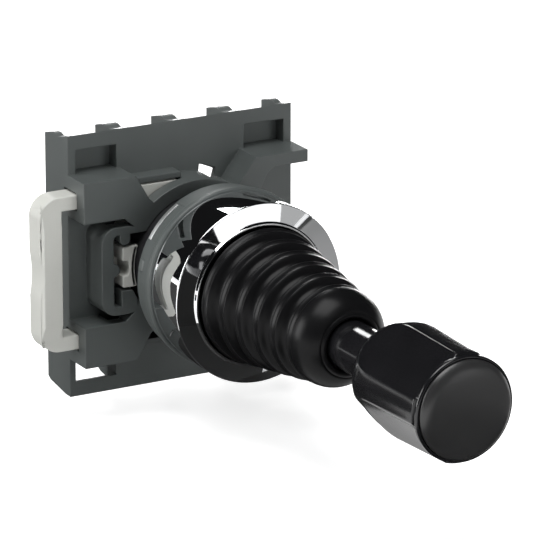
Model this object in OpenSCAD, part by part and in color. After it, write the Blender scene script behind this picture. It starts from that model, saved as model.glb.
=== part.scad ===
// Panel-mount joystick head with its rear mounting latch.
// Every module draws along the stick's axis: +Z towards the knob, +Y up, z = 0 at the panel's front face.
// The head is then laid over, so that the stick points along -Y and the operator's up is +Z.

/* [Panel] */
// Panel thickness, from the seal to the latch
panel_t = 5.6; // [3:0.1:8]
// Diameter of the barrel that passes the panel
barrel_d = 22; // [18:0.5:26]

/* [Head] */
// Outer diameter of the chrome bezel
bezel_d = 29.8; // [29:0.2:36]
// Height of the chrome bezel
bezel_h = 9; // [8:0.2:12]
// Depth of the dish in the bezel's front
dish_h = 1.4; // [0.5:0.1:1.8]
// Height of the moulded collar
collar_h = 6.2; // [5:0.2:9]
// Length of the barrel behind the panel
barrel_l = 17.3; // [16.5:0.1:21]

/* [Bellows] */
// Radius of the first roll
roll_r = 11.25; // [10:0.05:13]
// Loss of radius from one roll to the next
roll_step = 0.63; // [0.3:0.01:0.75]
// Distance between rolls
roll_pitch = 4.35; // [3.5:0.05:5.2]
// Number of rolls
rolls = 6; // [4:1:8]
// Depth of the valleys
valley = 1.7; // [0.8:0.1:2.1]
// Length of the round nose
nose_l = 5.5; // [4:0.1:7]
// Rubber thickness
rubber_t = 0.9; // [0.6:0.1:1.1]

/* [Stick] */
// Spindle diameter
spindle_d = 5; // [4:0.1:6]
// Sleeve diameter
sleeve_d = 8; // [7:0.1:9.6]
// Length of sleeve that shows between the bellows and the knob
neck_l = 10.8; // [6:0.1:16]
// Tilt each way that the pivot is built for
tilt_deg = 12; // [6:1:14]

/* [Knob] */
// Diameter over the knob's lands at the rear
knob_d = 18.9; // [16:0.1:22]
// Loss of diameter over the lands from the rear to the front
knob_taper = 1.4; // [0:0.1:2]
// Length of the knob without its cap
knob_l = 23; // [20:0.1:28]
// Radius of the rounded rear edge
knob_round = 4.6; // [3:0.1:5.2]
// Number of flutes
flutes = 4; // [3:1:6]
// Radius at the bottom of a flute, at the front
flute_floor = 6.9; // [6.4:0.1:7.4]
// Radius of the flute's hollow
flute_r = 20; // [9:0.5:22]

/* [Latch] */
// Width of the mounting plate
plate_w = 41; // [40:0.5:50]
// Height of the mounting plate
plate_h = 44.2; // [43:0.5:54]
// Height of the wings in front of the plate
cover_h = 5.7; // [5.2:0.1:8]
// Depth of the walls behind the plate's face
latch_depth = 8.1; // [7:0.1:11]
// Thickness of the locking slide
slide_t = 4; // [3:0.1:4.6]
// Travel of the locking slide
slide_travel = 1.6; // [1:0.1:1.8]

/* [Hidden] */
$fn = 96;
run = 0.05;
seat = 0.02;
clear = 0.3;

barrel_r = barrel_d / 2;
barrel_wall = 1.8;
bore_r = barrel_r - barrel_wall;
bezel_r = bezel_d / 2;
bezel_z = collar_h;
bezel_top = collar_h + bezel_h;
bezel_wall = 0.9;
bezel_lip_r = roll_r - 0.5;
collar_rear_r = bezel_r - 0.5;
seal_t = 0.9;
washer_t = 0.8;
washer_r = bezel_r - 0.9;
notch_from = 116;
notch_to = 154;
nib_turn = 167;
foot_r = bezel_r - 2.3;
foot_t = 1;
foot_z = bezel_top - dish_h - bezel_wall - foot_t - run;
flange_r = bezel_r - 1.5;
flange_t = 2;
first_roll_z = bezel_top + 2.4;
last_roll_z = first_roll_z + (rolls - 1) * roll_pitch;
last_roll_r = roll_r - (rolls - 1) * roll_step;
nose_z = last_roll_z + nose_l;

spindle_r = spindle_d / 2;
sleeve_r = sleeve_d / 2;
mouth_r = sleeve_r + 0.4;
pivot_z = -2.3;
pin_r = 0.8;
retainer_wall = 0.85;
retainer_r = bore_r - seat - retainer_wall;
// Share of the room between spindle and retainer that the pivot has, 1 as drawn
pivot_share = (retainer_r - spindle_r) / 5.83;
hub_r = spindle_r + 1.9 * pivot_share;
hub_half = 3;
ring_in_r = hub_r + pivot_share;
ring_out_r = ring_in_r + 1.8 * pivot_share;
ring_half = 2;
swash_t = 1.5;
swash_drop = 6;
swash_z = pivot_z - swash_drop;
plunger_at = retainer_r - 2.73;
swash_r = plunger_at + 0.6;
plunger_r = 1.1;
plunger_head_r = 1.45;
plunger_gap = 0.35 + plunger_head_r * sin(tilt_deg);
guide_t = 2.4;
guide_boss = 2.2;
guide_wall = 0.9;
spring_wire = 0.3;
spring_turns = 4.5;
spring_r = plunger_at - plunger_r - guide_wall - spring_wire - 0.15;
clip_t = 0.5;
guide_z = -barrel_l + clip_t + 0.3;
plunger_tip_z = -barrel_l - 0.9;
fit_r = bore_r - seat;

knob_r = knob_d / 2;
knob_z = nose_z + neck_l;
knob_front_r = knob_r - knob_taper / 2;
knob_end = knob_z + knob_l;
rim_t = 1.5;
rim_r = knob_front_r - 0.35;
rim_round = 0.75;
cap_r = rim_r - 0.65;
cap_dome = 1.9;
cap_edge = 0.3;
cap_deep = 1.6;
screw_r = 1.5;
screw_head_r = 2.75;
screw_head_h = 2.1;
knob_web = 2;
knob_pocket_r = 4.6;
spindle_end = knob_end - 7.2;
flute_end = knob_end - rim_t;
land_turn = -5.8;
land_z = knob_z + knob_round;
land_lean = atan((knob_r - knob_front_r) / (flute_end - land_z));

latch_z = -panel_t - cover_h;
side = plate_w / 2;
half = plate_h / 2;
plate_t = 3.4;
cover_t = 2.5;
slide_z = -1.1;
slide_gap = 0.3;
channel_z = slide_z - slide_gap;
channel_top = slide_z + slide_t + slide_gap;
boss_r = barrel_r + 2.35;
latch_bore_r = barrel_r + 0.15;
well_r = barrel_r + 1.2;
wall_w = 2.3;
end_wall_w = 1.1;
wing_y = barrel_r + 4.6;
wing_gap_y = barrel_r - 2.25;
tongue_y = barrel_r + 2.6;
bracket_x = barrel_r + 6.4;
bracket_y = barrel_r - 3.6;
bracket_bar = 2.15;
bracket_arm = 1.3;
window_x = bracket_x - bracket_bar;
window_y = bracket_y - bracket_arm;
pocket_w = 7.4;
pocket_rim = 1.4;
pocket_h = half - 2.5 - wing_y;
window_rim = 1;
window_step = 1.3;
top_lean = 1.6;
wall_gap_y = boss_r + 1.2;
sight_r = boss_r + 0.9;
sight_from = 34;
sight_to = 78;

fork_r = barrel_r - 0.6;
fork_out_r = barrel_r + 2.2;
fork_t = 2.2;
fork_end = (pow(barrel_r, 2) - pow(fork_r, 2)) / (2 * slide_travel) - slide_travel / 2 + 0.15;
fork_low_end = barrel_r - 1.4;
groove_r = fork_r - clear;
arm_in = barrel_r - 0.4;
arm_out = fork_out_r - 0.15;
arm_end = 2;
rail_t = 0.9;
handle_w = 4;
handle_gap = 2.6;
handle_x = side + handle_gap + handle_w;
handle_r = 3.4;
handle_rise = 0.8;
rise_y = arm_out - 2;
rise_run = 2.8;
relief = [0.9, 2.6];
relief_slope = 0.9;
hollow_r = 20;
hollow_deep = 0.35;
shield_t = 0.9;
shield_y = [-window_y + 3.1, window_y - 2.2];
shield_h = cover_h - slide_z - 0.25;
nub_r = 1.1;
nub_x = barrel_r + clear + shield_t + slide_travel + clear + 0.1 + nub_r;

black = [0.07, 0.07, 0.075];
dark_grey = [0.27, 0.3, 0.305];
light_grey = [0.8, 0.81, 0.78];
steel = [0.72, 0.73, 0.74];
chrome = [0.86, 0.87, 0.88];

// A tube from z0 to z1
module tube(r_out, r_in, z0, z1) {
    translate([0, 0, z0])
        difference() {
            cylinder(r = r_out, h = z1 - z0);
            translate([0, 0, -1])
                cylinder(r = r_in, h = z1 - z0 + 2);
        }
}

// A wedge of the plane from angle a to angle b, for cutting rings
module sector(radius, a, b) {
    polygon([[0, 0], for (i = [0:6]) radius * [cos(a + (b - a) * i / 6), sin(a + (b - a) * i / 6)]]);
}

// A rectangle with round corners, its lower left corner at x, y
module round_box(x, y, w, h, r) {
    translate([x + r, y])
        square([w - 2 * r, h]);
    translate([x, y + r])
        square([w, h - 2 * r]);
    for (cx = [x + r, x + w - r], cy = [y + r, y + h - r])
        translate([cx, cy])
            circle(r = r, $fn = 48);
}

// Lays a piece of the head over, so that its axis points along -Y
module laid() {
    rotate([90, 0, 0])
        children();
}

module bezel() {
    color(chrome)
        laid()
            rotate_extrude()
                polygon([
                    [bezel_r - 1.25, bezel_z - 1.2],
                    [bezel_r - 0.65, bezel_z - 1.2],
                    [bezel_r - 0.65, bezel_z],
                    [bezel_r, bezel_z],
                    [bezel_r, bezel_top - 0.7],
                    for (a = [15:15:75]) [bezel_r - 0.7 + 0.7 * cos(a), bezel_top - 0.7 + 0.7 * sin(a)],
                    [bezel_r - 0.9, bezel_top],
                    [bezel_r - 1.5, bezel_top - 0.15],
                    [bezel_lip_r + 1, bezel_top - dish_h],
                    for (a = [15:25:90])
                        [bezel_lip_r + 0.45 - 0.45 * sin(a), bezel_top - dish_h - 0.35 + 0.45 * cos(a)],
                    [bezel_lip_r, bezel_top - dish_h - bezel_wall],
                    [foot_r + 0.2, bezel_top - dish_h - bezel_wall],
                    [bezel_r - 1.25, bezel_top - 1.6]
                ]);
}

module collar() {
    rim_z = seal_t + washer_t + run;
    color(dark_grey)
        laid()
            difference() {
                union() {
                    rotate_extrude()
                        polygon([
                            [barrel_r + seat, rim_z],
                            [washer_r + seat, rim_z],
                            [washer_r + seat, seal_t + 0.05],
                            [collar_rear_r - 0.25, seal_t + 0.05],
                            [collar_rear_r, seal_t + 0.3],
                            [bezel_r, collar_h - 1.4],
                            [bezel_r + 0.14, collar_h - 1.1],
                            [bezel_r + 0.14, collar_h - 0.25],
                            [bezel_r, collar_h - seat],
                            [bezel_r - 0.6, collar_h - seat],
                            [bezel_r - 0.6, collar_h - 1.3],
                            [bezel_r - 1.3, collar_h - 1.3],
                            [bezel_r - 1.3, collar_h - seat],
                            [barrel_r + seat, collar_h - seat]
                        ]);
                    // locating nib on the left of the rim
                    rotate([0, 0, nib_turn])
                        translate([collar_rear_r - 0.4, -1, seal_t + 0.4])
                            cube([0.8, 2, 1.6]);
                }
                // notch in the rear rim, which bares the washer
                translate([0, 0, -1])
                    linear_extrude(1 + rim_z + 1)
                        difference() {
                            sector(bezel_r + 2, notch_from, notch_to);
                            circle(r = washer_r + seat / 2);
                        }
            }
}

module seat_washer() {
    color(steel)
        laid()
            tube(washer_r, barrel_r + 0.1, seal_t, seal_t + washer_t);
}

module panel_seal() {
    inner = barrel_r + 0.15;
    outer = washer_r - 0.1;
    // the chamfers of the lip, limited by the seal's width
    inner_lip = min(0.95, 0.4 * (outer - inner));
    outer_lip = min(0.5, 0.2 * (outer - inner));
    color(black)
        laid()
            rotate_extrude()
                polygon([
                    [inner, 0.5],
                    [inner + inner_lip, 0],
                    [outer - outer_lip, 0],
                    [outer, 0.25],
                    [outer, seal_t],
                    [inner, seal_t]
                ]);
}

module barrel() {
    groove_low = latch_z + slide_z - slide_gap / 2;
    groove_high = latch_z + slide_z + fork_t + slide_gap / 2;
    color(black)
        laid()
            difference() {
                union() {
                    rotate_extrude()
                        polygon([
                            [bore_r, -barrel_l],
                            [barrel_r - 0.5, -barrel_l],
                            [barrel_r, -barrel_l + 0.8],
                            [barrel_r, groove_low],
                            [groove_r, groove_low],
                            [groove_r, groove_high],
                            [barrel_r, groove_high],
                            [barrel_r, collar_h],
                            [flange_r - 0.4, collar_h],
                            [flange_r - 0.4, collar_h + flange_t],
                            [foot_r, collar_h + flange_t],
                            [foot_r, foot_z - run],
                            [bore_r, foot_z - run]
                        ]);
                    // key that stops the head turning in the panel
                    translate([-1.5, barrel_r - 0.5, -panel_t * 0.75])
                        cube([3, 1.5, panel_t * 0.75 - 0.3]);
                }
                // sockets of the two pivot pins
                translate([0, 0, pivot_z])
                    rotate([0, 90, 0])
                        cylinder(r = pin_r + seat, h = 2 * (barrel_r - 0.6), center = true, $fn = 32);
                // groove of the retaining ring
                translate([0, 0, -barrel_l + 0.2])
                    cylinder(r = bore_r + 0.7, h = clip_t + 0.1);
            }
}

// The bellows' outer radius at height z: rolls on a cone
function roll_at(z) =
    roll_r - roll_step * (z - first_roll_z) / roll_pitch
    - valley * pow(0.5 - 0.5 * cos(360 * (z - first_roll_z) / roll_pitch), 0.8);

module bellows() {
    steps = 10;
    zs = [for (i = [0:steps * (rolls - 1)]) first_roll_z + roll_pitch * i / steps];
    nose = [for (a = [15:15:90]) [mouth_r + (last_roll_r - mouth_r) * cos(a), last_roll_z + nose_l * sin(a)]];
    neck_r = bezel_lip_r - 0.1;
    throat = sleeve_r + seat;
    color(black)
        laid()
            rotate_extrude()
                polygon(concat(
                    [[bore_r + 0.2, foot_z], [foot_r, foot_z], [foot_r, foot_z + foot_t]],
                    [[neck_r, foot_z + foot_t],
                        [neck_r, bezel_top - dish_h + 0.5], [roll_r - 0.15, bezel_top + 0.9]],
                    [for (z = zs) [roll_at(z), z]],
                    nose,
                    [[mouth_r - 0.3, nose_z - 0.5], [throat, nose_z - 1.5], [throat, nose_z - 3.5],
                        [last_roll_r - rubber_t - 0.8, last_roll_z]],
                    [for (i = [len(zs) - 2:-1:0]) [roll_at(zs[i]) - rubber_t, zs[i]]],
                    [[neck_r - rubber_t, bezel_top - dish_h + 0.5],
                        [neck_r - rubber_t, foot_z + foot_t - 0.2]]
                ));
}

module bearing_retainer() {
    color(black)
        laid()
            tube(fit_r, fit_r - retainer_wall, guide_z + guide_t, pivot_z - pin_r - run);
}

module ring_pins() {
    color(steel)
        laid()
            for (side = [-1, 1])
                translate([side * (ring_in_r + barrel_r - 0.4) / 2, 0, pivot_z])
                    rotate([0, 90, 0])
                        cylinder(r = pin_r, h = barrel_r - 1 - ring_in_r, center = true, $fn = 32);
}

module gimbal_ring() {
    color(steel)
        laid()
            difference() {
                tube(ring_out_r, ring_in_r, pivot_z - ring_half, pivot_z + ring_half);
                for (turn = [0, 90])
                    translate([0, 0, pivot_z])
                        rotate([0, 90, turn])
                            cylinder(r = pin_r + run, h = 2 * ring_out_r + 1, center = true, $fn = 32);
            }
}

module pivot_hub() {
    color(black)
        laid()
            difference() {
                rotate_extrude()
                    polygon([
                        [spindle_r + seat, swash_z + swash_t],
                        [spindle_r + 1, swash_z + swash_t],
                        [spindle_r + 1, pivot_z - hub_half],
                        [hub_r - 0.5, pivot_z - hub_half],
                        [hub_r, pivot_z - hub_half + 0.5],
                        [hub_r, pivot_z + hub_half - 0.5],
                        [hub_r - 0.5, pivot_z + hub_half],
                        [spindle_r + seat, pivot_z + hub_half]
                    ]);
                translate([0, 0, pivot_z])
                    rotate([90, 0, 0])
                        cylinder(r = pin_r + seat, h = 2 * hub_r + 1, center = true, $fn = 32);
            }
}

module hub_pin() {
    color(steel)
        laid()
            translate([0, 0, pivot_z])
                rotate([90, 0, 0])
                    cylinder(r = pin_r, h = 2 * ring_out_r - 0.8, center = true, $fn = 32);
}

module spindle() {
    color(steel)
        laid()
            difference() {
                translate([0, 0, swash_z])
                    cylinder(r = spindle_r, h = spindle_end - swash_z);
                translate([0, 0, pivot_z])
                    rotate([90, 0, 0])
                        cylinder(r = pin_r + seat, h = spindle_d + 1, center = true, $fn = 32);
                translate([0, 0, spindle_end - 8])
                    cylinder(r = screw_r + seat, h = 9, $fn = 48);
            }
}

module swash_plate() {
    color(steel)
        laid()
            difference() {
                union() {
                    translate([0, 0, swash_z])
                        cylinder(r = spindle_r + 1.4, h = swash_t);
                    // four fingers, one over each plunger
                    for (turn = [0:90:270])
                        rotate([0, 0, turn])
                            translate([0, 0, swash_z])
                                linear_extrude(swash_t) {
                                    translate([0, -1.5])
                                        square([swash_r - 1.5, 3]);
                                    translate([swash_r - 1.5, 0])
                                        circle(r = 1.5, $fn = 32);
                                }
                }
                translate([0, 0, swash_z - 1])
                    cylinder(r = spindle_r + seat, h = swash_t + 2);
            }
}

// Points of one ring of the spring's wire
function wire_ring(t, wire, sides) =
    let (turn = 360 * spring_turns * t)
    [for (k = [0:sides - 1])
        let (a = 360 * k / sides, rad = spring_r + wire * cos(a))
        [rad * cos(turn), rad * sin(turn), wire * sin(a)]];

module return_spring() {
    wire = spring_wire;
    sides = 6;
    n = 90;
    low = guide_z + guide_t + wire + 0.1;
    high = swash_z - wire - 0.1;
    rings = [for (i = [0:n])
        let (t = i / n, rise = low + (high - low) * t)
        for (p = wire_ring(t, wire, sides)) p + [0, 0, rise]];
    skin = [for (i = [0:n - 1], k = [0:sides - 1])
        let (a = i * sides + k, b = i * sides + (k + 1) % sides)
        [a, b, b + sides, a + sides]];
    ends = [[for (k = [sides - 1:-1:0]) k], [for (k = [0:sides - 1]) n * sides + k]];
    color(steel)
        laid()
            polyhedron(
                points = rings,
                faces = [for (f = concat(skin, ends)) [for (j = [len(f) - 1:-1:0]) f[j]]]
            );
}

// One plunger at an angle round the axis
module plunger(turn) {
    top = swash_z - plunger_gap;
    color([0.75, 0.2, 0.15])
        laid()
            rotate([0, 0, turn])
                translate([plunger_at, 0, 0])
                    rotate_extrude($fn = 48)
                        polygon([
                            [0, plunger_tip_z],
                            [plunger_r - 0.3, plunger_tip_z],
                            [plunger_r, plunger_tip_z + 0.4],
                            [plunger_r, top - 1.5],
                            [plunger_head_r, top - 1.5],
                            [plunger_head_r, top - 0.8],
                            [plunger_head_r * 0.8, top - 0.35],
                            [plunger_head_r * 0.4, top - 0.08],
                            [0, top]
                        ]);
}

module plunger_right() {
    plunger(0);
}

module plunger_up() {
    plunger(90);
}

module plunger_left() {
    plunger(180);
}

module plunger_down() {
    plunger(270);
}

module plunger_guide() {
    color([0.55, 0.56, 0.55])
        laid()
            difference() {
                union() {
                    translate([0, 0, guide_z])
                        cylinder(r = fit_r, h = guide_t - 2 * seat);
                    for (turn = [0:90:270])
                        rotate([0, 0, turn])
                            translate([plunger_at, 0, guide_z])
                                cylinder(r = plunger_r + guide_wall, h = guide_t + guide_boss, $fn = 48);
                }
                for (turn = [0:90:270])
                    rotate([0, 0, turn])
                        translate([plunger_at, 0, guide_z - 1])
                            cylinder(r = plunger_r + run, h = guide_t + guide_boss + 2, $fn = 48);
                // lightening recesses between the bosses, open to the rear
                for (turn = [45:90:315])
                    rotate([0, 0, turn])
                        translate([plunger_at + 0.4, 0, guide_z - 1])
                            cylinder(r = 1.5, h = 2.2, $fn = 48);
            }
}

module retaining_ring() {
    color(steel)
        laid()
            translate([0, 0, -barrel_l + 0.2 + run])
                linear_extrude(clip_t)
                    difference() {
                        circle(r = bore_r + 0.6);
                        circle(r = bore_r - 0.9);
                        sector(barrel_r, 248, 292);
                    }
}

module stick_sleeve() {
    color(black)
        laid()
            tube(sleeve_r, spindle_r + seat, last_roll_z - 2, knob_z + 2);
}

// The knob's outline without its flutes: round at the rear, tapered lands, a rim round the cap
module knob_form() {
    rotate_extrude()
        polygon([
            [0, knob_z],
            [sleeve_r + 0.4, knob_z],
            for (a = [-75:15:0])
                [knob_r - knob_round + knob_round * cos(a), land_z + knob_round * sin(a)],
            [knob_front_r, flute_end],
            [rim_r, flute_end + 0.15],
            for (a = [0:15:75])
                [rim_r - rim_round + rim_round * cos(a), knob_end - rim_round + rim_round * sin(a)],
            [cap_r + 0.1, knob_end],
            [0, knob_end]
        ]);
}

module knob() {
    color(black)
        laid()
            difference() {
                knob_form();
                // flutes, which lean with the lands and stop behind the rim
                for (i = [0:flutes - 1])
                    rotate([0, 0, 360 * (i + 0.5) / flutes + land_turn])
                        translate([flute_floor + flute_r, 0, flute_end])
                            rotate([0, -land_lean, 0])
                                translate([0, 0, knob_z - flute_end - 1])
                                    cylinder(r = flute_r, h = flute_end - knob_z + 1, $fn = 160);
                // seat of the sleeve, bore of the spindle, screw hole, screw pocket and cap recess
                translate([0, 0, knob_z - 1])
                    cylinder(r = sleeve_r + seat, h = 3 + seat);
                translate([0, 0, knob_z])
                    cylinder(r = spindle_r + seat, h = spindle_end - knob_z + seat);
                translate([0, 0, spindle_end - 1])
                    cylinder(r = screw_r + 0.1, h = knob_web + 2, $fn = 48);
                translate([0, 0, spindle_end + knob_web])
                    cylinder(r = knob_pocket_r, h = knob_end);
                translate([0, 0, knob_end - cap_deep])
                    cylinder(r = cap_r + seat, h = cap_deep + 1);
            }
}

module knob_cap() {
    bottom = knob_end - cap_deep + seat;
    dome_r = cap_r - 0.25;
    dome_z = knob_end + cap_edge;
    color([0.11, 0.11, 0.115])
        laid()
            rotate_extrude()
                polygon([
                    [0, bottom],
                    [knob_pocket_r - 1, bottom],
                    [knob_pocket_r - 1, bottom - 1.2],
                    [knob_pocket_r - seat, bottom - 1.2],
                    [knob_pocket_r - seat, bottom],
                    [cap_r, bottom],
                    [cap_r, knob_end - 0.35],
                    [dome_r, knob_end + cap_edge - 0.1],
                    for (i = [7:-1:0])
                        [(dome_r - 0.2) * i / 7, dome_z + (cap_dome - cap_edge) * (1 - pow(i / 7, 2))]
                ]);
}

module knob_screw() {
    under = spindle_end + knob_web + 0.5;
    color(steel)
        laid()
            difference() {
                union() {
                    translate([0, 0, spindle_end - 6])
                        cylinder(r = screw_r, h = 7 + knob_web, $fn = 48);
                    translate([0, 0, under])
                        cylinder(r = screw_head_r, h = screw_head_h - 0.6);
                }
                translate([0, 0, under + screw_head_h - 1.6])
                    cylinder(r = 1.3, h = 2, $fn = 6);
            }
}

module knob_washer() {
    color(steel)
        laid()
            translate([0, 0, spindle_end + knob_web])
                tube(screw_head_r + 0.6, screw_r + seat, seat, 0.5 - seat);
}

// One of the latch's rear walls, seen from the side: the crowned lug stands at the top
module rear_wall(x, w) {
    translate([x - w / 2, 0, 0])
        rotate([90, 0, 90])
            linear_extrude(w)
                polygon([
                    [-half, -plate_t / 2],
                    [-half, 0],
                    [half, 0],
                    [half - 0.25, -1.2],
                    [half - 0.65, -2.6],
                    [half - 0.75, -3.4],
                    [half - 0.5, -4.3],
                    [half - 0.5, -5.1],
                    [half - 0.9, -latch_depth + 1.3],
                    [half - 1.3, -latch_depth],
                    [-half + 1.4, -latch_depth],
                    [-half + 0.9, -latch_depth + 0.8]
                ]);
}

// The plate, whose top edge leans back between the lugs
module plate() {
    translate([-side, 0, 0])
        rotate([90, 0, 90])
            linear_extrude(plate_w)
                polygon([
                    [-half, 0],
                    [half, 0],
                    [half - top_lean, -plate_t],
                    [-half + top_lean, -plate_t]
                ]);
}

// Outline of the two left wings and the two right ones, y given for the upper one
module wings_outline() {
    for (flip = [0, 1])
        mirror([0, flip]) {
            polygon([
                [-side, wing_y],
                [-barrel_r - 0.1, wing_y],
                [-barrel_r + 2.25, barrel_r + 0.5],
                [-0.55 * barrel_r, 0.82 * barrel_r],
                [-0.82 * barrel_r, 0.45 * barrel_r],
                [-barrel_r - 2.2, wing_gap_y],
                [-side, wing_gap_y]
            ]);
            polygon([
                [barrel_r - 0.1, wing_y],
                [side, wing_y],
                [side, tongue_y],
                [barrel_r + 3.3, tongue_y],
                [barrel_r + 2, tongue_y - 0.9],
                [0.82 * barrel_r, 0.45 * barrel_r],
                [0.55 * barrel_r, 0.82 * barrel_r],
                [barrel_r - 3, barrel_r + 0.9]
            ]);
        }
}

// The bracket round the window on the left of the boss
module bracket_outline() {
    depth = bracket_x - barrel_r + 1;
    difference() {
        round_box(-bracket_x, -bracket_y, depth, 2 * bracket_y, 2.6);
        round_box(-window_x, -window_y, depth, 2 * window_y, 0.8);
    }
}

// The three small tabs in the window
module tabs_outline() {
    // round tab above
    translate([-window_x + 2.1, window_y - 0.9]) {
        circle(r = 0.9, $fn = 48);
        translate([-0.9, 0])
            square([1.8, 1.5]);
    }
    // round nub on the bar
    translate([-nub_x, 0.25])
        circle(r = nub_r, $fn = 48);
    // square tab below
    polygon([
        [-window_x + 1.4, -window_y - 0.5],
        [-window_x + 1.4, -window_y + 2.7],
        [-window_x + 3.4, -window_y + 2.6],
        [-window_x + 4.2, -window_y + 1],
        [-window_x + 4.2, -window_y - 0.5]
    ]);
}

// Channel of the locking slide: the plate stays whole between the two arms, up to the window
module channel_outline() {
    difference() {
        translate([-side - 1, -arm_out - clear])
            square([side + 1 - arm_end + 0.4, 2 * (arm_out + clear)]);
        translate([-side - 2, -arm_in + clear])
            square([2 + side - window_x, 2 * (arm_in - clear)]);
    }
}

// Gap beside the end of the fork, through which light shows above and below the boss
module sight_outline() {
    difference() {
        polygon([[2.8, 0.8 * barrel_r], [3.4, barrel_r + 3.2], [6.4, barrel_r + 2.1], [5.2, 0.8 * barrel_r]]);
        circle(r = latch_bore_r - 0.1);
    }
}

module latch_body() {
    color(dark_grey)
        laid()
            translate([0, 0, latch_z])
                difference() {
                    union() {
                        plate();
                        linear_extrude(cover_h)
                            wings_outline();
                        translate([0, 0, -latch_depth])
                            cylinder(r = boss_r, h = latch_depth + cover_h);
                        difference() {
                            for (i = [-1:1])
                                rear_wall(i * side / 2, wall_w);
                            translate([-side, -wall_gap_y, -latch_depth - 1])
                                cube([plate_w, 2 * wall_gap_y, latch_depth + 1 - plate_t / 2]);
                        }
                        for (s = [-1, 1])
                            rear_wall(s * (side - end_wall_w / 2), end_wall_w);
                        // rails above and below the arms of the slide
                        for (s = [-1, 1])
                            translate([-barrel_r - 0.5, s * (arm_out + clear + rail_t / 2) - rail_t / 2, -1])
                                cube([barrel_r - 1, rail_t, slide_z + slide_t + 1]);
                        // the bar of the bracket stands on the plate
                        linear_extrude(cover_h)
                            intersection() {
                                bracket_outline();
                                translate([-bracket_x - 1, -bracket_y - 1])
                                    square([bracket_x + 1 - window_x + 1, 2 * bracket_y + 2]);
                            }
                    }
                    // bore of the barrel and the wider well behind the plate
                    translate([0, 0, -latch_depth - 1])
                        cylinder(r = latch_bore_r, h = latch_depth + cover_h + 2);
                    translate([0, 0, -latch_depth - 1])
                        cylinder(r = well_r, h = latch_depth + 1 - plate_t);
                    translate([0, 0, channel_z])
                        linear_extrude(channel_top - channel_z)
                            channel_outline();
                    // window in the boss behind the bracket
                    translate([0, 0, channel_z])
                        linear_extrude(cover_h + 4)
                            round_box(-window_x, -window_y, 8, 2 * window_y, 0.8);
                    // gaps beside the fork, wider behind the face and on through the well's wall
                    for (flip = [0, 1])
                        mirror([0, flip]) {
                            translate([0, 0, -1.5])
                                linear_extrude(1.5 + cover_h - cover_t + 0.7)
                                    sight_outline();
                            translate([0, 0, -latch_depth - 1])
                                linear_extrude(latch_depth + 1 - 0.8)
                                    difference() {
                                        sector(sight_r, sight_from, sight_to);
                                        circle(r = latch_bore_r - 0.1);
                                    }
                        }
                    // pockets at the upper corners of the plate, windows at the lower ones
                    for (x = [-side + pocket_rim, side - pocket_rim - pocket_w])
                        translate([x, wing_y, -plate_t + 0.8])
                            cube([pocket_w, pocket_h, plate_t]);
                    for (x = [-side + window_rim, side - window_rim - pocket_w]) {
                        translate([x, -wing_y - pocket_h, -plate_t - 1])
                            cube([pocket_w, pocket_h, plate_t + 2]);
                        translate([x, -wing_y - pocket_h - window_step, -plate_t - 1])
                            cube([pocket_w, pocket_h + window_step, plate_t + 0.4]);
                    }
                }
    // front of the bracket, with its tabs
    color(dark_grey)
        laid()
            translate([0, 0, latch_z + cover_h - cover_t])
                linear_extrude(cover_t)
                    difference() {
                        union() {
                            bracket_outline();
                            tabs_outline();
                        }
                        circle(r = latch_bore_r + 0.2);
                    }
}

// Outline of the slide's handle and arms, with the reliefs at the handle's inner corners
module handle_outline() {
    inner_x = side + handle_gap;
    difference() {
        round_box(-handle_x, -arm_out, 2 * handle_x, 2 * arm_out, handle_r);
        translate([-inner_x, -arm_in])
            square([2 * handle_x, 2 * arm_in]);
        polygon([
            [-inner_x + 1, arm_in],
            [-inner_x - relief[0], arm_in],
            [-inner_x - relief[0], arm_in - relief[1] + relief_slope],
            [-inner_x, arm_in - relief[1]],
            [-inner_x + 1, arm_in - relief[1]]
        ]);
    }
}

module locking_slide() {
    color(light_grey)
        laid()
            translate([0, 0, latch_z + slide_z])
                difference() {
                    union() {
                        // handle and arms, the lower arm shorter than the upper one
                        linear_extrude(slide_t)
                            difference() {
                                handle_outline();
                                translate([-arm_end, -arm_out - 1])
                                    square([2 * handle_x, 2 * arm_out + 2]);
                                translate([-fork_low_end, -arm_out - 1])
                                    square([2 * handle_x, arm_out + 1]);
                                circle(r = barrel_r + clear);
                            }
                        // fork that grips the barrel's groove
                        linear_extrude(fork_t)
                            difference() {
                                circle(r = fork_out_r);
                                circle(r = fork_r);
                                translate([-fork_end, -fork_out_r - 1])
                                    square([2 * fork_out_r, 2 * fork_out_r + 2]);
                                translate([-fork_low_end, -fork_out_r - 1])
                                    square([2 * fork_out_r, fork_out_r + 1]);
                            }
                        // shield that closes the window round the barrel
                        linear_extrude(shield_h)
                            intersection() {
                                difference() {
                                    circle(r = barrel_r + clear + shield_t);
                                    circle(r = barrel_r + clear);
                                }
                                translate([-barrel_r - 3, shield_y[0]])
                                    square([barrel_r, shield_y[1] - shield_y[0]]);
                            }
                        // thicker middle of the handle
                        translate([-handle_x + 0.3, 0, 0])
                            rotate([90, 0, 90])
                                linear_extrude(handle_w - 0.6)
                                    polygon([
                                        [-rise_y, slide_t - 0.1],
                                        [rise_y, slide_t - 0.1],
                                        [rise_y - rise_run, slide_t + handle_rise],
                                        [-rise_y + rise_run, slide_t + handle_rise]
                                    ]);
                    }
                    // shallow finger hollow on the outside of the handle
                    translate([-handle_x - hollow_r + hollow_deep, 0, -1])
                        cylinder(r = hollow_r, h = slide_t + 3, $fn = 160);
                }
}

bezel();
collar();
seat_washer();
panel_seal();
barrel();
bellows();
bearing_retainer();
ring_pins();
gimbal_ring();
pivot_hub();
hub_pin();
spindle();
swash_plate();
return_spring();
plunger_up();
plunger_down();
plunger_left();
plunger_right();
plunger_guide();
retaining_ring();
stick_sleeve();
knob();
knob_cap();
knob_screw();
knob_washer();
latch_body();
locking_slide();
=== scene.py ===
import math

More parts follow.
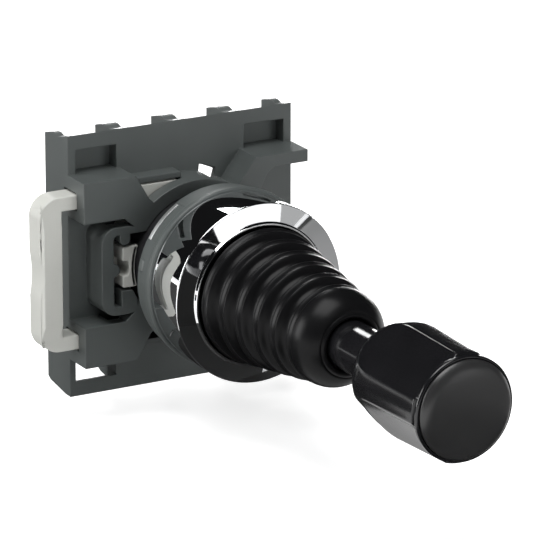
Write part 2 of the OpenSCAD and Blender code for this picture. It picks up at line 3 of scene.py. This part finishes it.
import bmesh
import bpy
from mathutils import Matrix, Vector


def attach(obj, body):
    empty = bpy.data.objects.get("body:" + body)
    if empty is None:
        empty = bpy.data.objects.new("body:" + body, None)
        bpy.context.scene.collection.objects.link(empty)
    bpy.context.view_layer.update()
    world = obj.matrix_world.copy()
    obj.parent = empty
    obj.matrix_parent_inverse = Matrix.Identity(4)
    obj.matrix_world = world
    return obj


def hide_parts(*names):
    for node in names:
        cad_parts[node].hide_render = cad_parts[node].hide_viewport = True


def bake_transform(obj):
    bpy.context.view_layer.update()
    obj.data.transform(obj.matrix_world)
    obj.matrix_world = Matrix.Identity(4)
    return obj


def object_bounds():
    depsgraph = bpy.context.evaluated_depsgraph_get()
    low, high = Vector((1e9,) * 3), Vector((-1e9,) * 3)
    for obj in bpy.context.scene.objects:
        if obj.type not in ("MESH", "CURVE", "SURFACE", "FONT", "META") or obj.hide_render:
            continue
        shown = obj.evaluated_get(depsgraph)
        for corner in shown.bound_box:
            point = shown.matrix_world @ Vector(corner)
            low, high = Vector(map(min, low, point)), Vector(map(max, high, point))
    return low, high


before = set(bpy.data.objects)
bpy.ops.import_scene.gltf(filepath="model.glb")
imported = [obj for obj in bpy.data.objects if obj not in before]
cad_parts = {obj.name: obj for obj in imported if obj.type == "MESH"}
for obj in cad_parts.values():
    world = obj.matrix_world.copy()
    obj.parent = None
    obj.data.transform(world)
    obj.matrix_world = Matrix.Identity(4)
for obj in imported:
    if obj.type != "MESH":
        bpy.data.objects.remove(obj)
cad_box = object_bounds()
mm = 0.001

# Camera. A long lens far off, to the left of the stick's end and a little above it, as the
# photograph was taken. It aims at a point inside the bezel.
aim = Vector((4.47, -10.66, 1.95)) * mm
distance = 0.80024
left_of_stick, above_stick = math.radians(28.907), math.radians(17.823)
towards_camera = Vector((
    -math.sin(left_of_stick) * math.cos(above_stick),
    -math.cos(left_of_stick) * math.cos(above_stick),
    math.sin(above_stick),
))
camera = bpy.data.objects.new("camera", bpy.data.cameras.new("camera"))
camera.data.lens = 333.3
camera.data.sensor_width = 36
camera.data.clip_end = 10
camera.location = aim + towards_camera * distance
camera.rotation_euler = (-towards_camera).to_track_quat("-Z", "Y").to_euler()
bpy.context.scene.collection.objects.link(camera)
bpy.context.scene.camera = camera

# Table. White paper that runs on as the background. It looks white to the camera and in the
# gloss of the pieces, and it takes the object's soft shadow. It lies low enough for the knob to
# tilt down.
bpy.context.scene.view_settings.view_transform = "Standard"
table_z = cad_box[0].z - 4.2 * mm
reach = 3
table = bpy.data.objects.new("table", bpy.data.meshes.new("table"))
table.data.from_pydata([
    (-reach, -reach, table_z), (reach, -reach, table_z),
    (reach, reach, table_z), (-reach, reach, table_z),
], [], [(0, 1, 2, 3)])
bpy.context.scene.collection.objects.link(table)
paper = bpy.data.materials.new("white_paper")
paper.use_nodes = True
nodes, links = paper.node_tree.nodes, paper.node_tree.links
lit = nodes["Principled BSDF"]
lit.inputs["Base Color"].default_value = (0.82, 0.82, 0.82, 1)
lit.inputs["Roughness"].default_value = 0.9
lit.inputs["Specular IOR Level"].default_value = 0.1

# in gloss the paper glows only away from the object, so that the pieces still mirror their own
# shade on it
path = nodes.new("ShaderNodeLightPath")
mirrored = nodes.new("ShaderNodeMath")
mirrored.operation = "MAXIMUM"
links.new(path.outputs["Is Glossy Ray"], mirrored.inputs[0])
links.new(path.outputs["Is Transmission Ray"], mirrored.inputs[1])
place = nodes.new("ShaderNodeTexCoord")
away = nodes.new("ShaderNodeVectorMath")
away.operation = "LENGTH"
links.new(place.outputs["Object"], away.inputs[0])
far_off = nodes.new("ShaderNodeMapRange")
far_off.inputs["From Min"].default_value = 0.02
far_off.inputs["From Max"].default_value = 0.12
links.new(away.outputs["Value"], far_off.inputs["Value"])
mirrored_glow = nodes.new("ShaderNodeMath")
mirrored_glow.operation = "MULTIPLY"
links.new(mirrored.outputs[0], mirrored_glow.inputs[0])
links.new(far_off.outputs["Result"], mirrored_glow.inputs[1])
seen = nodes.new("ShaderNodeMath")
seen.operation = "MAXIMUM"
links.new(path.outputs["Is Camera Ray"], seen.inputs[0])
links.new(mirrored_glow.outputs[0], seen.inputs[1])

# near the object the paper glows less, which leaves the shadow visible
full = nodes.new("ShaderNodeMapRange")
full.inputs["From Min"].default_value = 0.15
full.inputs["From Max"].default_value = 0.7
full.inputs["To Min"].default_value = 0.7
full.inputs["To Max"].default_value = 1
links.new(away.outputs["Value"], full.inputs["Value"])
strength = nodes.new("ShaderNodeMath")
strength.operation = "MULTIPLY"
links.new(seen.outputs[0], strength.inputs[0])
links.new(full.outputs["Result"], strength.inputs[1])
glow = nodes.new("ShaderNodeEmission")
links.new(strength.outputs[0], glow.inputs["Strength"])
both = nodes.new("ShaderNodeAddShader")
links.new(lit.outputs[0], both.inputs[0])
links.new(glow.outputs[0], both.inputs[1])
links.new(both.outputs[0], nodes["Material Output"].inputs["Surface"])
table.data.materials.append(paper)

# Cards. Dark and grey cards lie on the paper round the object, and a small one stands under the bellows.
# Neither the camera nor diffuse light nor shadows see them; only gloss does. They are painted shade in the
# reflections, which gives the chrome and the rubber their dark sides.
low = table_z + 0.05 * mm
for name, corners, tone in [
    ("rear_card", [
        (-0.35, 0.35, low), (-0.35, 0, low), (-0.04, 0, low),
        (-0.04, -0.028, low), (0.015, -0.028, low), (0.015, 0.35, low),
    ], 0.05),
    ("standing_card", [
        (-0.04, -0.028, low), (0.01, -0.028, low), (0.01, -0.028, -0.009), (-0.04, -0.028, -0.009),
    ], 0.03),
    ("front_card", [
        (-0.04, -0.058, low), (-0.04, -0.75, low), (0.06, -0.75, low), (0.06, -0.058, low),
    ], 0.015),
    ("grey_card", [
        (0.062, -0.03, low), (0.062, -1.2, low), (1.5, -1.2, low), (1.5, -0.03, low),
    ], 0.32),
]:
    card = bpy.data.objects.new(name, bpy.data.meshes.new(name))
    card.data.from_pydata(corners, [], [range(len(corners))])
    # seen only in gloss: a painted dark reflection, which casts no shadow and takes no part in the lighting
    card.visible_camera = card.visible_diffuse = card.visible_shadow = False
    bpy.context.scene.collection.objects.link(card)
    board = bpy.data.materials.new(name)
    board.use_nodes = True
    shader = board.node_tree.nodes["Principled BSDF"]
    shader.inputs["Base Color"].default_value = (tone, tone, tone, 1)
    shader.inputs["Specular IOR Level"].default_value = 0
    card.data.materials.append(board)

# Room. The studio round the table is dark, as the black in the chrome shows, but the camera
# sees white past the table's edge.
room = bpy.data.worlds.new("room")
bpy.context.scene.world = room
room.use_nodes = True
nodes, links = room.node_tree.nodes, room.node_tree.links
dim = nodes["Background"]
dim.inputs["Color"].default_value = (0.93, 0.95, 1, 1)
dim.inputs["Strength"].default_value = 0.008
white = nodes.new("ShaderNodeBackground")
white.inputs["Color"].default_value = (1, 1, 1, 1)
white.inputs["Strength"].default_value = 1
path = nodes.new("ShaderNodeLightPath")
pick = nodes.new("ShaderNodeMixShader")
links.new(path.outputs["Is Camera Ray"], pick.inputs[0])
links.new(dim.outputs[0], pick.inputs[1])
links.new(white.outputs[0], pick.inputs[2])
links.new(pick.outputs[0], nodes["World Output"].inputs["Surface"])

# Lamps. A large soft box above and one behind on the left. A small one high behind edges the
# knob, a long one at the horizon gives the lugs their sheen, the chrome shows the two in front
# as white and grey, and the last only fills.
middle = Vector((0, -0.02, 0))
for name, place, width, height, power, in_gloss in [
    ("top_box", (-0.2, -0.12, 0.78), 0.6, 0.6, 7, True),
    ("left_box", (-0.8, 0.34, 0.2), 0.4, 0.5, 4.8, True),
    ("rear_box", (0.22, 0.72, 0.5), 0.2, 0.1, 0.8, True),
    ("low_box", (0.5, 1.2, 0.04), 1.6, 0.14, 12, True),
    ("front_box", (0.36, -0.84, 0.15), 0.36, 0.28, 0.4, True),
    ("right_box", (0.72, -0.62, 0.15), 0.52, 0.3, 0.22, True),
    ("fill_box", (0.2, -0.9, 0), 0.8, 0.8, 6, False),
]:
    lamp = bpy.data.objects.new(name, bpy.data.lights.new(name, "AREA"))
    lamp.data.shape = "RECTANGLE"
    lamp.data.size, lamp.data.size_y = width, height
    lamp.data.energy = power
    lamp.location = place
    lamp.rotation_euler = (middle - Vector(place)).to_track_quat("-Z", "Y").to_euler()
    lamp.visible_camera = False
    lamp.visible_glossy = in_gloss
    bpy.context.scene.collection.objects.link(lamp)


# Latch body. One dark grey moulding that grips the barrel behind the panel. Its edges have the
# small radius of the mould, and its faces the fine matt texture of a spark-cut tool.
def moulding(name, colour, roughness, grain=0.12, cloud=0.05, gloss=0.5, edge=0):
    """A moulded plastic or rubber. grain is the depth of its fine texture, cloud the change in
    its tone, and edge the radius in mm that its edges seem to have."""
    finish = bpy.data.materials.new(name)
    finish.use_nodes = True
    nodes, links = finish.node_tree.nodes, finish.node_tree.links
    shader = nodes["Principled BSDF"]
    shader.inputs["Specular IOR Level"].default_value = gloss
    place = nodes.new("ShaderNodeTexCoord")

    # broad clouding of the plastic, some 8 mm across, in tone and in sheen
    clouds = nodes.new("ShaderNodeTexNoise")
    clouds.inputs["Scale"].default_value = 130
    clouds.inputs["Detail"].default_value = 4
    links.new(place.outputs["Object"], clouds.inputs["Vector"])
    tint = nodes.new("ShaderNodeValToRGB")
    tint.color_ramp.elements[0].position = 0.3
    tint.color_ramp.elements[0].color = [c * (1 - cloud) for c in colour] + [1]
    tint.color_ramp.elements[1].position = 0.7
    tint.color_ramp.elements[1].color = [c * (1 + cloud) for c in colour] + [1]
    links.new(clouds.outputs["Fac"], tint.inputs["Fac"])
    links.new(tint.outputs["Color"], shader.inputs["Base Color"])
    sheen = nodes.new("ShaderNodeMapRange")
    sheen.inputs["To Min"].default_value = roughness - 0.05
    sheen.inputs["To Max"].default_value = roughness + 0.05
    links.new(clouds.outputs["Fac"], sheen.inputs["Value"])
    links.new(sheen.outputs["Result"], shader.inputs["Roughness"])

    # fine grain of the tool, some 0.2 mm across
    texture = nodes.new("ShaderNodeTexNoise")
    texture.inputs["Scale"].default_value = 5200
    texture.inputs["Detail"].default_value = 3
    links.new(place.outputs["Object"], texture.inputs["Vector"])
    relief = nodes.new("ShaderNodeBump")
    relief.inputs["Strength"].default_value = grain
    relief.inputs["Distance"].default_value = 0.02 * mm
    links.new(texture.outputs["Fac"], relief.inputs["Height"])
    links.new(relief.outputs["Normal"], shader.inputs["Normal"])
    if edge:
        edges = nodes.new("ShaderNodeBevel")
        edges.samples = 6
        edges.inputs["Radius"].default_value = edge * mm
        links.new(edges.outputs["Normal"], relief.inputs["Normal"])
    return finish


def finished(finish, *cad_nodes):
    """Gives a finish to pieces whose CAD shape stays."""
    for node in cad_nodes:
        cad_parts[node].material_slots[0].material = finish


latch_grey = moulding("latch_grey_moulding", (0.074, 0.084, 0.082), 0.42, gloss=0.9, edge=0.25)
finished(latch_grey, "latch_body")


# Locking slide. The pale grey handle, arms and fork are one moulding too, a little smoother
# than the body it slides in. Its edges are rounded off by the mould.
def fitted(name, mesh, finish, body, node):
    """A piece made from its mesh, which stands for a CAD node and hides that node. One given no body is
    attached to none."""
    piece = bpy.data.objects.new(name, mesh)
    piece.data.materials.append(finish)
    bpy.context.scene.collection.objects.link(piece)
    if body:
        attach(piece, body)
    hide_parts(node)
    return piece


light_grey = moulding("light_grey_moulding", (0.56, 0.565, 0.53), 0.38, 0.08, 0.02)
slide_round, sharp_edge = 0.25 * mm, 32
slide_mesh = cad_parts["locking_slide"].data.copy()
slide_mesh.materials.clear()
if "custom_normal" in slide_mesh.attributes:
    slide_mesh.attributes.remove(slide_mesh.attributes["custom_normal"])
slide = bmesh.new()
slide.from_mesh(slide_mesh)
bmesh.ops.remove_doubles(slide, verts=slide.verts, dist=1e-6)
bmesh.ops.dissolve_limit(slide, angle_limit=math.radians(0.4), verts=slide.verts, edges=slide.edges)
looped = [face for face in slide.faces if len(set(face.verts)) < len(face.verts)]
bmesh.ops.triangulate(slide, faces=looped)
bend = {e: math.degrees(e.calc_face_angle()) for e in slide.edges if len(e.link_faces) == 2}
for face in slide.faces:
    face.smooth = any(1 < bend.get(e, 0) < sharp_edge for e in face.edges)
rounds = bmesh.ops.bevel(
    slide, geom=[e for e in bend if bend[e] >= sharp_edge], offset=slide_round, segments=3,
    profile=0.5, affect="EDGES",
)
for face in rounds["faces"]:
    face.smooth = True
slide.to_mesh(slide_mesh)
slide.free()
piece = fitted(
    "locking_slide_moulded", slide_mesh, light_grey, "lock", "locking_slide",
)
flat_faces = piece.modifiers.new("flat faces", "WEIGHTED_NORMAL")
flat_faces.mode = "FACE_AREA"
flat_faces.weight = 100


def made(name, vertices, faces, finish, slot, body, node, crease):
    """A piece from its points in mm: across, distance in front of the panel, and up. Edges that
    turn by more than crease degrees stay sharp."""
    mesh = bpy.data.meshes.new(name)
    mesh.from_pydata([(x * mm, -z * mm, y * mm) for x, z, y in vertices], [], faces)
    mesh.validate()
    mesh.shade_smooth()
    mesh.set_sharp_from_angle(angle=math.radians(crease))
    return fitted(name, mesh, finish, body, node)


# the slide's pale block closes the latch's window round the barrel, and a hollow in its outer
# side clears the nub on the window's bar
block_r, block_low, block_high = 11.35, -3, 3.9
block_side, chamfer = -13.5, 0.2
block_back, block_front = -10.1, -5.85
hollow_side, hollow_depth, hollow_y, hollow_half = -12.8, 0.55, 0.25, 1.3
hollow = [
    (hollow_side + hollow_depth * math.cos(0.7 * k), hollow_y + hollow_half * math.sin(0.7 * k))
    for k in range(-2, 3)
]
turns = [math.radians(a) for a in range(164, 196, 2)]
round_barrel = [(block_r * math.cos(a), block_r * math.sin(a)) for a in turns]
block = [(-10.95, block_high)]
block += [(x, y) for x, y in round_barrel if block_low <= y <= block_high]
block += [
    (-11.25, block_low), (block_side + chamfer, block_low), (block_side, block_low + chamfer),
    (block_side, hollow_y - 1.28), *hollow, (block_side, hollow_y + 1.28),
    (block_side, block_high - chamfer), (block_side + chamfer, block_high),
]
count = len(block)
ends = [list(range(count)), list(range(count, 2 * count))[::-1]]
sides = [[k, count + k, count + (k + 1) % count, (k + 1) % count] for k in range(count)]
piece = made(
    "slide_block", [(x, z, y) for z in (block_back, block_front) for x, y in block], ends + sides,
    light_grey, "light_grey_moulding", "lock", "locking_slide", crease=30,
)
moulded_edge = piece.modifiers.new("moulded edge", "BEVEL")
moulded_edge.width = 0.12 * mm
moulded_edge.segments = 2
moulded_edge.limit_method = "ANGLE"

# Barrel. The black moulded tube that passes through the panel hole. It holds the pivot and the
# plungers, and the latch grips it behind the panel.
black = moulding("black_moulding", (0.022, 0.022, 0.024), 0.4)
finished(black, "barrel")

# Panel seal. A soft black rubber ring, moulded flat. The seat washer squeezes it against the
# panel.
rubber = moulding("black_rubber", (0.006, 0.006, 0.0065), 0.3, 0.05, 0.1, 0.12)
finished(rubber, "panel_seal")


# Seat washer. A stamped ring of bright zinc-plated steel between the seal and the collar. Its
# edge is turned up where the collar's skirt has a notch, and shines there.
def metal(name, colour, roughness, marks, along=(1, 1, 1)):
    """A plated or polished metal. marks is the depth of its fine marks, and along stretches them."""
    finish = bpy.data.materials.new(name)
    finish.use_nodes = True
    nodes, links = finish.node_tree.nodes, finish.node_tree.links
    shader = nodes["Principled BSDF"]
    shader.inputs["Base Color"].default_value = (*colour, 1)
    shader.inputs["Metallic"].default_value = 1
    place = nodes.new("ShaderNodeTexCoord")
    stretch = nodes.new("ShaderNodeMapping")
    stretch.inputs["Scale"].default_value = along
    links.new(place.outputs["Object"], stretch.inputs["Vector"])

    # haze that varies over the plating
    haze = nodes.new("ShaderNodeTexNoise")
    haze.inputs["Scale"].default_value = 300
    haze.inputs["Detail"].default_value = 5
    links.new(stretch.outputs["Vector"], haze.inputs["Vector"])
    sheen = nodes.new("ShaderNodeMapRange")
    sheen.inputs["To Min"].default_value = roughness * 0.6
    sheen.inputs["To Max"].default_value = roughness * 1.4
    links.new(haze.outputs["Fac"], sheen.inputs["Value"])
    links.new(sheen.outputs["Result"], shader.inputs["Roughness"])

    # fine marks from drawing or polishing
    lines = nodes.new("ShaderNodeTexNoise")
    lines.inputs["Scale"].default_value = 3000
    lines.inputs["Detail"].default_value = 3
    links.new(stretch.outputs["Vector"], lines.inputs["Vector"])
    relief = nodes.new("ShaderNodeBump")
    relief.inputs["Strength"].default_value = marks
    relief.inputs["Distance"].default_value = 0.01 * mm
    links.new(lines.outputs["Fac"], relief.inputs["Height"])
    links.new(relief.outputs["Normal"], shader.inputs["Normal"])
    return finish


def spun(outline_at, turns):
    """Points and faces of a shape swept round the stick's axis. outline_at gives the closed
    outline, as (radius, distance in front of the panel) in mm, at an angle in degrees. The
    outline goes forward on the outside and back on the inside."""
    vertices, faces = [], []
    outlines = [outline_at(turn) for turn in turns]
    count = len(outlines[0])
    for turn, outline in zip(turns, outlines):
        a = math.radians(turn)
        vertices += [(r * math.cos(a), z, r * math.sin(a)) for r, z in outline]
    same_place = 1e-5
    for k in range(len(turns)):
        here, there = k * count, (k + 1) % len(turns) * count
        for i in range(count):
            j = (i + 1) % count
            corners = [here + i, there + i, there + j, here + j]
            face = [
                v for n, v in enumerate(corners)
                if (Vector(vertices[v]) - Vector(vertices[corners[n - 1]])).length > same_place
            ]
            if len(face) > 2:
                faces.append(face)
    return vertices, faces


def even_turns(count):
    return [360 * k / count for k in range(count)]


def rounded(corners, steps):
    """A closed outline whose corners, (radius, distance in front of the panel, rounding), are
    rounded off."""
    points = []
    for i, (x, y, r) in enumerate(corners):
        corner = Vector((x, y))
        if not r:
            points.append(tuple(corner))
            continue
        before = (Vector(corners[i - 1][:2]) - corner).normalized()
        after = (Vector(corners[(i + 1) % len(corners)][:2]) - corner).normalized()
        half = before.angle(after) / 2
        centre = corner + (before + after).normalized() * (r / math.sin(half))
        start = corner + before * (r / math.tan(half)) - centre
        turn = (math.pi - 2 * half) * (1 if before.x * after.y - before.y * after.x < 0 else -1)
        for k in range(steps + 1):
            points.append(tuple(centre + Matrix.Rotation(turn * k / steps, 2) @ start))
    return points


notch_from, notch_to = 121, 150
washer_bore, washer_r, washer_back, washer_front = 11.05, 14.0, 0.97, 1.72
turned_up_r, turned_up_front = 14.36, 1.95


def washer_outline(turn):
    turned_up = notch_from < turn < notch_to
    outer, front = (turned_up_r, turned_up_front) if turned_up else (washer_r, washer_front)
    return rounded([
        (washer_bore, washer_front, 0), (washer_bore, washer_back, 0), (outer, washer_back, 0.1),
        (outer, front, 0.1), (outer - 0.3, front, 0), (13.5, washer_front, 0),
    ], 4)


bright_steel = metal("bright_steel", (0.78, 0.79, 0.79), 0.42, 0.2)
notch_sides = [end + side for end in (notch_from, notch_to) for side in (-0.05, 0.05)]
ring_turns = sorted(even_turns(180) + notch_sides)
made(
    "washer_ring", *spun(washer_outline, ring_turns),
    bright_steel, "bright_steel", "head", "seat_washer", crease=35,
)


# Collar. A dark grey moulded ring that the bezel is pressed onto. Its rear skirt has a notch on
# the upper left, which bares the washer, and a small nib beside it.
def collar_outline(turn):
    skirt = 1.97 if notch_from < turn < notch_to else 0.95
    return rounded([
        (11.02, 1.75, 0), (14.02, 1.75, 0), (14.02, skirt, 0), (14.4, skirt, 0.05),
        (14.43, skirt + 0.25, 0.05), (14.86, 4.7, 0.15), (15.04, 5.05, 0.08), (15.04, 5.95, 0.15),
        (14.8, 6.17, 0.08), (14.3, 6.17, 0), (14.3, 4.9, 0), (13.6, 4.9, 0), (13.6, 6.17, 0), (11.02, 6.17, 0),
    ], 4)


dark_grey = moulding("dark_grey_moulding", (0.078, 0.088, 0.086), 0.42)
made(
    "collar_ring", *spun(collar_outline, ring_turns),
    dark_grey, "dark_grey_moulding", "head", "collar", crease=35,
)
nib_turn, nib_r, nib_z = math.radians(167), 14.35, 2.1
nib_width, nib_depth, nib_length, nib_round = 1.9, 0.75, 1.5, 0.18
across = Vector((-math.sin(nib_turn), 0, math.cos(nib_turn)))
out = Vector((math.cos(nib_turn), 0, math.sin(nib_turn)))
forward = Vector((0, -1, 0))
nib = bmesh.new()
bmesh.ops.create_cube(nib, size=1)
for v in nib.verts:
    x, y, z = v.co
    spot = across * x * nib_width + out * (nib_r + y * nib_depth) + forward * (nib_z + z * nib_length)
    v.co = spot * mm
bmesh.ops.bevel(nib, geom=nib.edges[:], offset=nib_round * mm, segments=3, profile=0.5, affect="EDGES")
bmesh.ops.recalc_face_normals(nib, faces=nib.faces)
nib_mesh = bpy.data.meshes.new("collar_nib")
nib.to_mesh(nib_mesh)
nib.free()
nib_mesh.shade_smooth()
fitted("collar_nib", nib_mesh, dark_grey, "head", "collar")

# Bezel. A deep-drawn brass ring, polished and chromed, slightly wider at the front. Its front
# rises a little towards a round lip, which holds the foot of the bellows.
chrome = metal("polished_chrome", (0.86, 0.87, 0.88), 0.03, 0.012)
bezel_outline = rounded([
    (13.65, 5.0, 0), (14.25, 5.0, 0), (14.25, 6.2, 0), (14.66, 6.2, 0.1), (14.9, 15.1, 0.2),
    (11.95, 15.62, 0.1), (11.75, 16.05, 0.15), (11.4, 16.1, 0.15), (11.25, 15.6, 0.1),
    (11.25, 12.9, 0), (13.65, 12.9, 0),
], 8)
made(
    "bezel_ring", *spun(lambda turn: bezel_outline, even_turns(256)),
    chrome, "chrome", "head", "bezel", crease=30,
)

# Bearing retainer and pivot. A black tube holds two steel pins in the barrel, on which the
# plated gimbal ring turns. A cross pin joins the ring to the black hub on the spindle.
finished(black, "bearing_retainer", "pivot_hub")
finished(bright_steel, "ring_pins", "gimbal_ring", "hub_pin")

# Spindle, swash plate and return spring. Turned and stamped steel, bright plated, and a spring
# of hard drawn wire.
drawn_steel = metal("drawn_steel", (0.68, 0.69, 0.7), 0.25, 0.3, (1, 0.15, 1))
finished(drawn_steel, "spindle", "swash_plate", "return_spring")

# Plungers and their guide. Four red moulded pins in a mid grey plate, which a circlip holds in
# the barrel's tail.
red = moulding("red_moulding", (0.42, 0.03, 0.02), 0.3)
finished(red, "plunger_up", "plunger_down", "plunger_left", "plunger_right")
mid_grey = moulding("mid_grey_moulding", (0.25, 0.26, 0.26), 0.4)
finished(mid_grey, "plunger_guide")
finished(bright_steel, "retaining_ring")

# Stick sleeve. A gloss black moulded tube, pushed over the spindle. It runs from the bellows
# into the knob.
gloss = moulding("black_gloss", (0.008, 0.008, 0.009), 0.15, 0.003, 0.1)
finished(gloss, "stick_sleeve")

# Bellows. A black rubber boot: a foot under the bezel, six rolls whose crests have two fine edges,
# and a round nose with a lip round the stick. It is made here as two shells that meet at the
# bottom of the second valley, because the stick tilts about two axes.
first_roll, pitch, rolls = 17.6, 4.35, 6
crest, loss, valley = 11.25, 0.63, 1.6
wall, stick_hole = 0.45, 4.03
last_roll = first_roll + (rolls - 1) * pitch


def smooth_line(points):
    """A smooth curve through the points, in four steps from each to the next."""
    line = []
    for i in range(len(points) - 1):
        a, b = points[max(i - 1, 0)], points[i]
        c, d = points[i + 1], points[min(i + 2, len(points) - 1)]
        for t in (0, 0.25, 0.5, 0.75):
            line.append(tuple(
                0.5 * (2 * b[n] + (c[n] - a[n]) * t + (2 * a[n] - 5 * b[n] + 4 * c[n] - d[n]) * t * t
                       + (3 * b[n] - a[n] - 3 * c[n] + d[n]) * t ** 3) for n in range(2)
            ))
    line.append(points[-1])
    return line


def roll_points(first, end):
    """The rolls from first up to end, each with the valley in front of it."""
    points = []
    for i in range(first, end):
        r, z = crest - loss * i, first_roll + pitch * i
        points += [
            (r - 0.95, z - 1.35), (r - 0.35, z - 1.05), (r - 0.03, z - 0.8), (r, z - 0.62),
            (r - 0.1, z - 0.4), (r - 0.2, z - 0.05), (r - 0.25, z + 0.3), (r - 0.24, z + 0.5),
            (r - 0.3, z + 0.68), (r - 0.62, z + 0.95), (r - 1.2, z + 1.3),
        ]
        if i < rolls - 1:
            points += [
                (r - valley + 0.05, z + 1.75), (r - valley - 0.1, z + pitch / 2), (r - valley, z + 2.6),
            ]
    return points


foot = [(12.4, 13.05), (11.2, 12.95), (10.65, 13.3), (10.65, 14.2), (10.75, 15.3)]
nose = [(r, last_roll + z) for r, z in [
    (8.02, 0.5), (8.0, 0.9), (7.9, 1.6), (7.65, 2.4), (7.25, 3.2), (6.6, 4.1), (5.95, 4.75), (5.5, 5.08),
    (5.25, 5.12), (5.05, 5.3), (4.75, 5.45), (4.45, 5.35), (4.2, 4.9), (4.06, 4.2), (4.06, 2),
]]
foot_z, seam_z, nose_z = 13.5, first_roll + 1.5 * pitch, 43
seam = (crest - 1.5 * loss - valley - 0.02, seam_z)

# each shell's line runs a few points past the seam before it is cut there, so that both meet it
# at one slope; the nose takes over from the second half of the last crest
lower = smooth_line(foot + roll_points(0, 2) + roll_points(2, 3)[:2])
upper = smooth_line(roll_points(1, 6)[10:-4] + nose)
lower = [p for p in lower if p[1] < seam_z - 0.02] + [seam]
upper = [seam] + [p for p in upper if p[1] > seam_z + 0.02]
for name, line, first_body, second_body, start, end in [
    ("bellows_lower", lower, "head", "gimbal", foot_z, seam_z),
    ("bellows_upper", upper, "gimbal", "stick", seam_z, nose_z),
]:
    inside = [(max(r - wall, stick_hole), z) for r, z in reversed(line) if z < last_roll + 2.5]
    piece = made(
        name, *spun(lambda turn: line + inside, even_turns(160)),
        rubber, "black_rubber", None, "bellows", crease=75,
    )
    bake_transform(piece)

# Knob. A gloss black moulding with four wide flutes between narrow lands. The flutes lean with
# the tapered lands and end in a plain step behind the round rim.
knob_z, land_z, flute_end, knob_end = 55.65, 64, 77.75, 78.65
knob_bore, knob_neck, knob_r, knob_front_r = 4.0, 4.4, 9.15, 8.7
rim_r, rim_round, cap_r = 8.4, 0.4, 8.0
flute_floor, flute_r, flute_turn, land_edge = 6.9, 20, 39.2, 0.3
back_fullness = 1.15
lean = (knob_r - knob_front_r) / (flute_end - land_z)


def flute(turn, z):
    """Distance of the flutes' surface from the axis."""
    off = math.radians((turn - flute_turn + 45) % 90 - 45)
    centre = flute_floor + (flute_end - z) * lean + flute_r
    return centre * math.cos(off) - math.sqrt(flute_r ** 2 - (centre * math.sin(off)) ** 2)


def fluted(radius, turn, z):
    """The lesser of a radius and the flutes', eased over the edge of the land."""
    cut = flute(turn, z)
    near = max(land_edge - abs(radius - cut), 0) / land_edge
    return min(radius, cut) - near * near * land_edge / 4


def knob_outline(turn):
    line = [(knob_bore, knob_z + 0.3), (knob_neck, knob_z)]
    for a in range(-88, 1, 8):
        a = math.radians(a)
        z = land_z + (land_z - knob_z) * math.sin(a)
        line.append((fluted(knob_neck + (knob_r - knob_neck) * math.cos(a) ** back_fullness, turn, z), z))
    for k in range(1, 9):
        z = land_z + (flute_end - 0.2 - land_z) * k / 8
        line.append((fluted(knob_r - (z - land_z) * lean, turn, z), z))
    behind_step, z = line[-1]
    for share, rise in [(0.04, 0.1), (0.25, 0.2), (0.6, 0.24), (1, 0.3)]:
        line.append((behind_step + (rim_r - behind_step) * share, z + rise))
    for a in range(0, 91, 15):
        a = math.radians(a)
        line.append((
            rim_r - rim_round + rim_round * math.cos(a),
            knob_end - rim_round + rim_round * math.sin(a),
        ))
    return line + [
        (cap_r - 0.06, knob_end - 0.04), (cap_r - 0.1, knob_end - 0.15), (cap_r - 0.1, knob_end - 1.0),
        (knob_bore, knob_end - 1.0),
    ]


# the angles from a flute's middle, closest together at the edge of the land
flute_steps = [
    0, 4, 8, 12, 16, 20, 24, 27, 29, 30, 30.6, 31.1, 31.5, 31.9, 32.3, 32.7, 33.1, 33.5,
    34, 34.5, 35, 36, 38, 41, 45,
]
knob_turns = sorted({
    round((flute_turn + 90 * i + side * step) % 360, 3)
    for i in range(4) for side in (-1, 1) for step in flute_steps
})
made("knob_body", *spun(knob_outline, knob_turns), gloss, "black_gloss", "stick", "knob", crease=50)

# Knob cap. A low satin dome pressed into the knob's end, over the screw. It has a small round
# edge and stands in a fine groove.
satin = moulding("black_satin", (0.024, 0.024, 0.0245), 0.3, 0.12, 0.05)
dome_r, shank_r = 7.86, 7.6
crown, round_edge = 0.8, 0.88
cap_outline = [
    (0, knob_end - 1.4), (shank_r, knob_end - 1.4), (shank_r, knob_end - 0.4),
    (dome_r - 0.06, knob_end - 0.1), (dome_r, knob_end + 0.1),
]
for share in [0.995, 0.985, 0.97, 0.95, 0.925, 0.9, 0.85, 0.8, 0.7, 0.6, 0.5, 0.4, 0.3, 0.2, 0.1, 0]:
    dome_z = knob_end + 0.2 + crown * (1 - share ** 2) + round_edge * (1 - share ** 12)
    cap_outline.append((dome_r * share, dome_z))
made(
    "knob_cap_dome", *spun(lambda turn: cap_outline, even_turns(128)),
    satin, "black_satin", "stick", "knob_cap", crease=50,
)

# Knob screw and washer. Turned and stamped steel, plated. They clamp the knob to the spindle,
# hidden under the cap.
finished(bright_steel, "knob_screw", "knob_washer")
